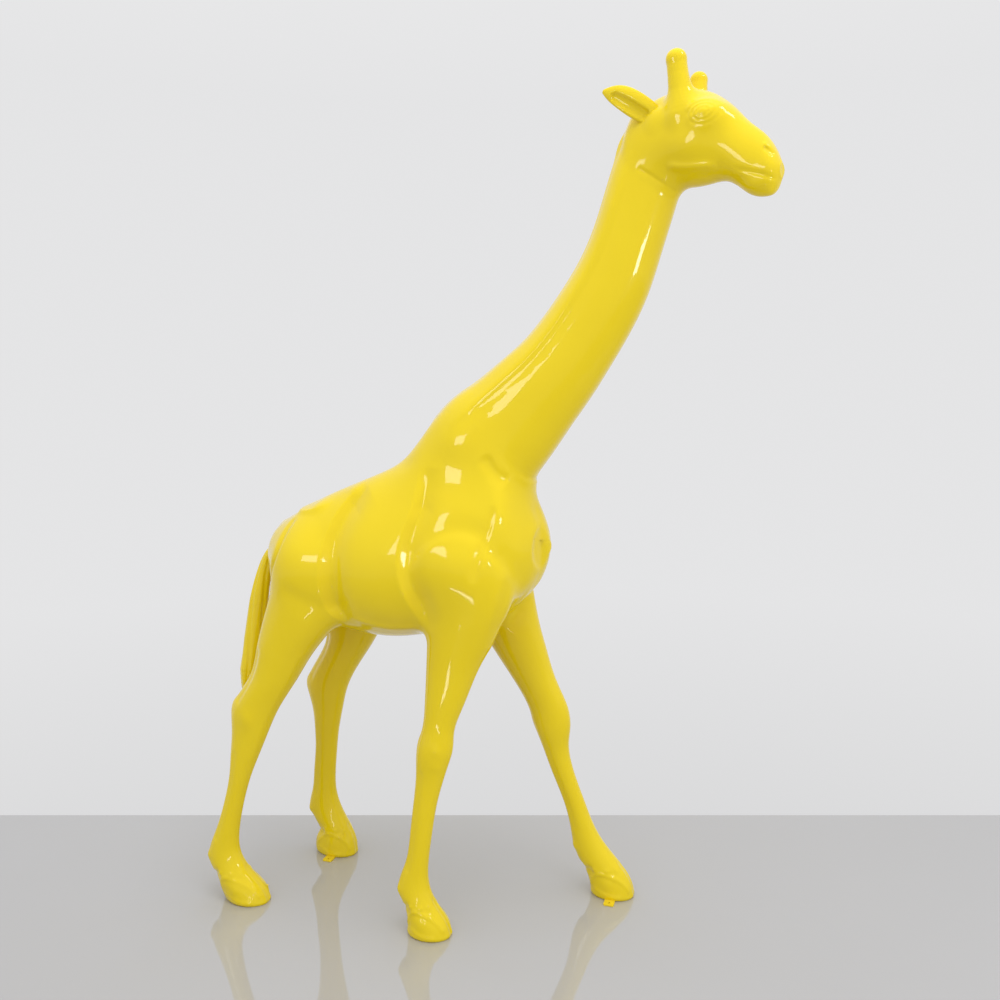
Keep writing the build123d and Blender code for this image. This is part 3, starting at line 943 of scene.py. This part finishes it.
def moulded(name, block, skin, cuts, material, wall=SHELL_WALL):
    """One moulded shell: the skin inside the cuts, its inner face, and the rims between them."""
    vertices, faces, rim, _ = trimmed(*skin, cuts, False)
    outward = unit(gradient(block, vertices))
    inner = vertices - outward * wall
    count = len(vertices)
    back = [[index + count for index in face[::-1]] for face in faces]
    edges = [[b, a, a + count, b + count] for a, b in rim]
    way = row_way(outward)
    corners = [way[index] for face in faces for index in face]
    corners += [-way[index - count] for face in back for index in face]
    whole = np.concatenate([vertices, inner])
    placed = row_way(whole)
    for quad in edges:
        corners += [face_way(placed[quad[0]], placed[quad[1]], placed[quad[3]])] * 4
    return build(name, whole, faces + back + edges, corners, material)


def cast(name, block, skin, cuts, material):
    """One solid casting, closed by flat caps where it is cut."""
    vertices, faces, _, caps = trimmed(*skin, cuts, True)
    way = row_way(unit(gradient(block, vertices)))
    placed = row_way(vertices)
    corners = []
    for face, cap in zip(faces, caps):
        if cap:
            thirds = (placed[face[len(face) * part // 3]] for part in range(3))
            corners += [face_way(*thirds)] * len(face)
        else:
            corners += [way[index] for index in face]
    return build(name, vertices, faces, corners, material)


# ---- Materials ------------------------------------------------------------------------
def node_functions(data, last):
    """Two functions for the node tree of some data: one adds a node, the other feeds its last node.

    Both take sockets to link or plain values, by the names of the inputs.
    """
    data.use_nodes = True
    tree = data.node_tree

    def fill(made, inputs):
        for key, value in inputs.items():
            socket = made.inputs[key.replace("_", " ")]
            if isinstance(value, bpy.types.NodeSocket):
                tree.links.new(value, socket)
            else:
                socket.default_value = value
        return made

    def node(kind, settings=None, **inputs):
        made = tree.nodes.new(kind)
        for key, value in (settings or {}).items():
            setattr(made, key, value)
        return fill(made, inputs)

    def feed(**inputs):
        fill(tree.nodes[last], inputs)

    return node, feed


def new_material(name):
    """A node material, with the functions for its nodes."""
    material = bpy.data.materials.new(name)
    return material, *node_functions(material, "Principled BSDF")


def object_noise(node, scale, detail=2.0, roughness=0.5):
    """Noise that is fixed to the object, at a scale in cells per metre."""
    place = node("ShaderNodeTexCoord").outputs["Object"]
    return node(
        "ShaderNodeTexNoise", Vector=place, Scale=scale, Detail=detail, Roughness=roughness
    ).outputs["Fac"]


def between(node, factor, low, high):
    """A value that follows a factor from low to high."""
    return node("ShaderNodeMapRange", Value=factor, To_Min=low, To_Max=high).outputs["Result"]


def blend_colour(node, factor, dark, light):
    """A colour that follows a factor from dark to light."""
    mix = node("ShaderNodeMix", {"data_type": "RGBA"})
    mix.id_data.links.new(factor, mix.inputs["Factor"])
    mix.inputs["A"].default_value = (*dark, 1)
    mix.inputs["B"].default_value = (*light, 1)
    return mix.outputs["Result"]


def lacquer():
    """High-gloss lemon lacquer: faint thickness shifts, orange peel and the mould's long ripple."""
    material, node, feed = new_material("yellow_lacquer")
    wave = object_noise(node, 9.0, 1.0)
    ripple = node("ShaderNodeBump", Height=wave, Strength=0.25, Distance=0.002)
    peel = node(
        "ShaderNodeBump",
        Height=object_noise(node, 260.0, 1.0),
        Normal=ripple.outputs["Normal"],
        Strength=0.4,
        Distance=0.00005,
    ).outputs["Normal"]
    cloud, haze = object_noise(node, 5.0, 3.0), object_noise(node, 60.0, 4.0)
    feed(
        Base_Color=blend_colour(node, cloud, (0.755, 0.565, 0.004), (0.81, 0.62, 0.01)),
        Roughness=between(node, haze, 0.16, 0.26),
        Specular_IOR_Level=0.05,
        Coat_Weight=0.75,
        Coat_Roughness=0.02,
        Coat_IOR=1.45,
        Normal=peel,
        Coat_Normal=peel,
    )
    return material


YELLOW = lacquer()


def mottled(name, tone, gloss, relief, **fixed):
    """A material whose tone, roughness and relief follow noises.

    Each of the three is its noise's scale, detail and roughness, then the two ends of its range,
    or for the relief the bump's strength and distance. The rest are plain shader values.
    """
    material, node, feed = new_material(name)
    (cloud, dark, light), (haze, smooth, rough), (grain, strength, height) = tone, gloss, relief
    bump = node(
        "ShaderNodeBump", Height=object_noise(node, *grain), Strength=strength, Distance=height
    )
    feed(
        Base_Color=blend_colour(node, object_noise(node, *cloud), dark, light),
        Roughness=between(node, object_noise(node, *haze), smooth, rough),
        Normal=bump.outputs["Normal"],
        **fixed,
    )
    return material


# The same yellow sprayed on steel lugs, with a coarser peel and scuffed patches
LUG_PAINT = mottled(
    "lacquered_lug",
    ((90.0, 5.0, 0.6), (0.74, 0.52, 0.012), (0.88, 0.68, 0.03)),
    ((90.0, 5.0, 0.6), 0.42, 0.18),
    ((700.0,), 0.5, 0.0001),
)
# Mill-finish welded tube: dull scale and a little brown bloom
STEEL = mottled(
    "armature_steel",
    ((14.0, 5.0, 0.65), (0.20, 0.17, 0.15), (0.36, 0.36, 0.37)),
    ((160.0, 4.0), 0.34, 0.58),
    ((500.0, 3.0), 0.4, 0.0002),
    Metallic=0.9,
)
# Filled polyester poured into the hooves: milky tan, with pinholes
RESIN = mottled(
    "casting_resin",
    ((30.0, 4.0), (0.42, 0.34, 0.22), (0.58, 0.50, 0.36)),
    ((220.0,), 0.38, 0.6),
    ((900.0,), 0.5, 0.0003),
)


def woven_laminate():
    """Glass tape wetted out with resin: a crossed weave under a pale green gloss."""
    material, node, feed = new_material("glass_laminate")
    place = node("ShaderNodeTexCoord").outputs["Object"]
    weave = node("ShaderNodeMath", {"operation": "MULTIPLY"})
    for axis, socket in zip("YZ", weave.inputs):
        bands = {"wave_type": "BANDS", "bands_direction": axis}
        strand = node(
            "ShaderNodeTexWave", bands, Vector=place, Scale=60.0, Distortion=1.5, Detail=2.0
        )
        material.node_tree.links.new(strand.outputs["Fac"], socket)
    weave = weave.outputs["Value"]
    cloth = node("ShaderNodeBump", Height=weave, Strength=0.6, Distance=0.0004)
    feed(
        Base_Color=blend_colour(node, weave, (0.40, 0.46, 0.34), (0.66, 0.70, 0.56)),
        Roughness=between(node, weave, 0.45, 0.25),
        Normal=cloth.outputs["Normal"],
    )
    return material


LAMINATE = woven_laminate()
# What the CAD pieces that are kept are made of, by the ends of their names
CARRIED = {"fixing_lug": LUG_PAINT, "leg_rod": STEEL, "_tube": STEEL}
for name, node_object in nodes.items():
    for ending, finish in CARRIED.items():
        if name.endswith(ending):
            for material_slot in node_object.material_slots:
                material_slot.material = finish


# ---- The pieces -----------------------------------------------------------------------
NECK_SEAM = plane((-34, 0, 1318), (0.62, 0, 0.78))
HEAD_SEAM = plane((386, 0, 2010), (0.64, 0, 0.77))
AHEAD_OF_NECK = plane((-34, 0, 1318), (0.86, 0, -0.51))
HORN_SEAM = plane((0, 0, HORN_TOP), (0, 0, 1))
ABOVE_LEGS = plane((0, 0, LEG_SEAM), (0, 0, 1))
ABOVE_FLOOR = plane((0, 0, 0), (0, 0, 1))
ABOVE_SOLE = plane((0, 0, SOLE_GAP), (0, 0, 1))
BELOW_FILL_TOP = plane((0, 0, FILL_TOP), (0, 0, -1))
LEFT_HALF = plane((0, 0, 0), (0, 1, 0))
HEAD_LEFT_HALF = plane(in_head(HEAD_PIVOT, 0, 0), (sin(HEAD_TURN), cos(HEAD_TURN), 0))


def place_piece(piece, node_name):
    """Put a piece on the body, in place of its CAD node."""
    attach(piece, "root")
    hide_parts(node_name)


def shells(region, block, skin, cuts, middle, names=("left", "right")):
    """The two moulded shells of a region, parted by its middle plane."""
    for half, cut in zip(names, (middle, flipped(middle))):
        piece = moulded(f"skin_{region}_{half}", block, skin, [*cuts, cut], YELLOW)
        place_piece(piece, f"{region}_{half}")


def tape(region, block, lining, cuts, middle, strip=""):
    """The glass tape that bridges a region's middle seam on the inside."""
    point, normal = middle
    near, far = point - normal * TAPE_HALF_WIDTH, point + normal * TAPE_HALF_WIDTH
    band = [*cuts, (near, normal), (far, -normal)]
    piece = moulded(f"skin_{region}_seam_tape{strip}", block, lining, band, LAMINATE, TAPE_THICK)
    place_piece(piece, f"{region}_seam_tape{strip}")


TORSO_ENDS, NECK_ENDS = [flipped(NECK_SEAM), ABOVE_LEGS], [NECK_SEAM, flipped(HEAD_SEAM)]
for region, low, high, step, cuts, middle in (
    ("torso", (-760, -236, 740), (220, 236, 1440), STEP, TORSO_ENDS, LEFT_HALF),
    ("neck", (-240, -180, 1180), (540, 180, 2140), STEP, NECK_ENDS, LEFT_HALF),
    ("head", (290, -250, 1880), (790, 150, 2300), FINE_STEP, [HEAD_SEAM], HEAD_LEFT_HALF),
):
    body_block = sculpted(low, high, step)
    body_skin = surface(body_block)
    if region == "head":
        for half, cut in (("left", middle), ("right", flipped(middle))):
            horn = cast(f"skin_ossicone_{half}", body_block, body_skin, [HORN_SEAM, cut], YELLOW)
            place_piece(horn, f"ossicone_{half}")
        cuts = [HEAD_SEAM, flipped(HORN_SEAM)]
    shells(f"{region}_shell", body_block, body_skin, cuts, middle)
    body_lining = surface(body_block, -SHELL_WALL)
    if region == "neck":
        for strip, cut in (("_front", AHEAD_OF_NECK), ("_back", flipped(AHEAD_OF_NECK))):
            tape(region, body_block, body_lining, [*cuts, cut], middle, strip)
    else:
        tape(region, body_block, body_lining, cuts, middle)

for half, side in (("left", 1), ("right", -1)):
    shape = ear_shape(side)
    ear_block = sculpted(shape.low, shape.high, FINE_STEP, [("join", shape, 0)])
    ear = cast(f"skin_ear_{half}", ear_block, surface(ear_block), [], YELLOW)
    place_piece(ear, f"ear_{half}")

tail_block = sculpted((-810, -130, 560), (-600, 50, 1150), FINE_STEP, tail_work())
tail = cast("skin_tail", tail_block, surface(tail_block), [], YELLOW)
place_piece(tail, "tail")

# The reach of a leg's lattice: out, round the stations, below the floor and above the seam
LEG_INSIDE, LEG_OUTSIDE, LEG_ROOM, LEG_BELOW, LEG_ABOVE = 40, 236, 110, 16, 12
for leg, side in SIDE.items():
    rows = np.array(LEGS[leg], float)
    near, far = sorted((side * LEG_INSIDE, side * LEG_OUTSIDE))
    low = (rows[4:, 1].min() - LEG_ROOM, near, -LEG_BELOW)
    high = (rows[4:, 1].max() + LEG_ROOM, far, LEG_SEAM + LEG_ABOVE)
    leg_block = sculpted(low, high, STEP)
    top = Vector((rows[5, 1], side * rows[5, 2], rows[5, 0]))
    sole = Vector((rows[-2, 1], side * rows[-2, 2], 0))
    outer = plane(sole, (top - sole).cross(Vector((-1, 0, 0))) * side)
    ends = [ABOVE_FLOOR, flipped(ABOVE_LEGS)]
    shells(f"{leg}_leg_shell", leg_block, surface(leg_block), ends, outer, ("outer", "inner"))
    lining = surface(leg_block, -SHELL_WALL)
    fill = cast(f"skin_{leg}_hoof_fill", leg_block, lining, [ABOVE_SOLE, BELOW_FILL_TOP], RESIN)
    place_piece(fill, f"{leg}_hoof_fill")


# ---- Stage ----------------------------------------------------------------------------
VIEW_TURN = radians(16.8)  # the camera stands this far forward of a square side view
VIEW_TILT = radians(-5.6)
VIEW_AWAY = 2.4
VIEW_HEIGHT = 1.416
SENSOR = 36.0
LENS = SENSOR * 0.876  # one sensor width is one picture width


def from_camera(right, up, ahead):
    """A point given from the camera: to its right, level up, and along its level heading."""
    heading = Vector((cos(VIEW_TURN), sin(VIEW_TURN), 0))
    across = Vector((sin(VIEW_TURN), -cos(VIEW_TURN), 0))
    return camera.location + across * right + Vector((0, 0, up)) + heading * ahead


def camera_made():
    """The camera, on the giraffe's right and a little in front of it."""
    data = bpy.data.cameras.new("camera")
    data.lens, data.sensor_width = LENS, SENSOR
    data.clip_end = 100
    made = put_in_scene("camera", data)
    ahead = MIDDLE * MM - VIEW_AWAY * sin(VIEW_TURN)
    made.location = (-VIEW_AWAY * cos(VIEW_TURN), ahead, VIEW_HEIGHT)
    made.rotation_euler = (radians(90) + VIEW_TILT, 0, VIEW_TURN - radians(90))
    bpy.context.scene.camera = made
    return made


camera = camera_made()


def backdrop():
    """A pale, evenly lit room, brighter overhead."""
    world = bpy.data.worlds.new("room")
    bpy.context.scene.world = world
    node, feed = node_functions(world, "Background")
    way = node("ShaderNodeTexCoord").outputs["Generated"]
    up = node("ShaderNodeSeparateXYZ", Vector=way).outputs["Z"]
    lift = node("ShaderNodeMapRange", Value=up, From_Min=-1.0)
    ramp = node("ShaderNodeValToRGB", Fac=lift.outputs["Result"])
    low, high = ramp.color_ramp.elements
    low.position, low.color = 0.0, (0.50, 0.50, 0.50, 1)
    high.position, high.color = 1.0, (0.95, 0.95, 0.95, 1)
    for position, grey in ((0.40, 0.78), (0.66, 0.78)):
        stop = ramp.color_ramp.elements.new(position)
        stop.color = (grey, grey, grey * 1.01, 1)
    feed(Color=ramp.outputs["Color"])
    bpy.context.scene.view_settings.view_transform = "Standard"


# Pale grey polished studio floor that mirrors what stands on it
FLOOR_FINISH = mottled(
    "studio_floor",
    ((1.2, 3.0), (0.45, 0.445, 0.449), (0.472, 0.467, 0.471)),
    ((4.0, 4.0), 0.02, 0.045),
    ((300.0,), 0.05, 0.00005),
    IOR=2.1,
)
FLOOR_AHEAD = 2.985  # from the camera to the foot of the wall
FLOOR_BEHIND = 6.0
FLOOR_HALF_WIDTH = 7.0
FLOOR_GAP = 0.0005  # below the feet


def floor_made():
    """A flat floor that ends at the foot of the wall, in line with the picture."""
    corners = []
    near, far, wide = -FLOOR_BEHIND, FLOOR_AHEAD, FLOOR_HALF_WIDTH
    for right, ahead in ((-wide, near), (wide, near), (wide, far), (-wide, far)):
        corners.append(from_camera(right, -VIEW_HEIGHT - FLOOR_GAP, ahead)[:])
    mesh = bpy.data.meshes.new("floor")
    mesh.from_pydata(corners, [], [(0, 1, 2, 3)])
    mesh.materials.append(FLOOR_FINISH)
    return put_in_scene("floor", mesh)


def spared(floor):
    """A collection that keeps the small lights off the floor, which would mirror them."""
    group = bpy.data.collections.new("off_the_floor")
    group.objects.link(floor)
    group.collection_objects[0].light_linking.link_state = "EXCLUDE"
    return group


backdrop()
studio_floor = floor_made()
OFF_THE_FLOOR = spared(studio_floor)


def softbox(name, place, target, size, power, accent=True):
    """A rectangular studio light that points at a target and stays out of the picture.

    An accent shows as a highlight in the lacquer and leaves the floor alone; the others only light.
    """
    data = bpy.data.lights.new(name, "AREA")
    data.shape = "RECTANGLE"
    data.size, data.size_y = size
    data.energy = power
    light = put_in_scene(name, data)
    light.location = place
    light.rotation_euler = (Vector(target) - Vector(place)).to_track_quat("-Z", "Y").to_euler()
    light.visible_camera = False
    light.visible_glossy = accent
    if accent:
        light.light_linking.receiver_collection = OFF_THE_FLOOR
    return light


softbox("key", (-2.9, 1.25, 2.3), (0, 0, 1.05), (1.1, 0.65), 13.5)
softbox("top", (-0.6, -0.3, 4.2), (0, 0, 1.2), (2.0, 2.4), 42, False)
softbox("fill", (-0.9, -3.0, 0.8), (0, 0, 1.1), (2.4, 1.6), 17, False)
softbox("glint", (-1.6, -1.9, 1.7), (0, 0, 1.3), (0.35, 0.3), 6)
softbox("brow", (-0.3, -1.9, 3.6), (0, -0.5, 1.9), (0.4, 0.4), 5)
softbox("low_strip", (-1.75, 0.1, 0.12), (0, 0.1, 0.9), (0.8, 0.05), 1.2)
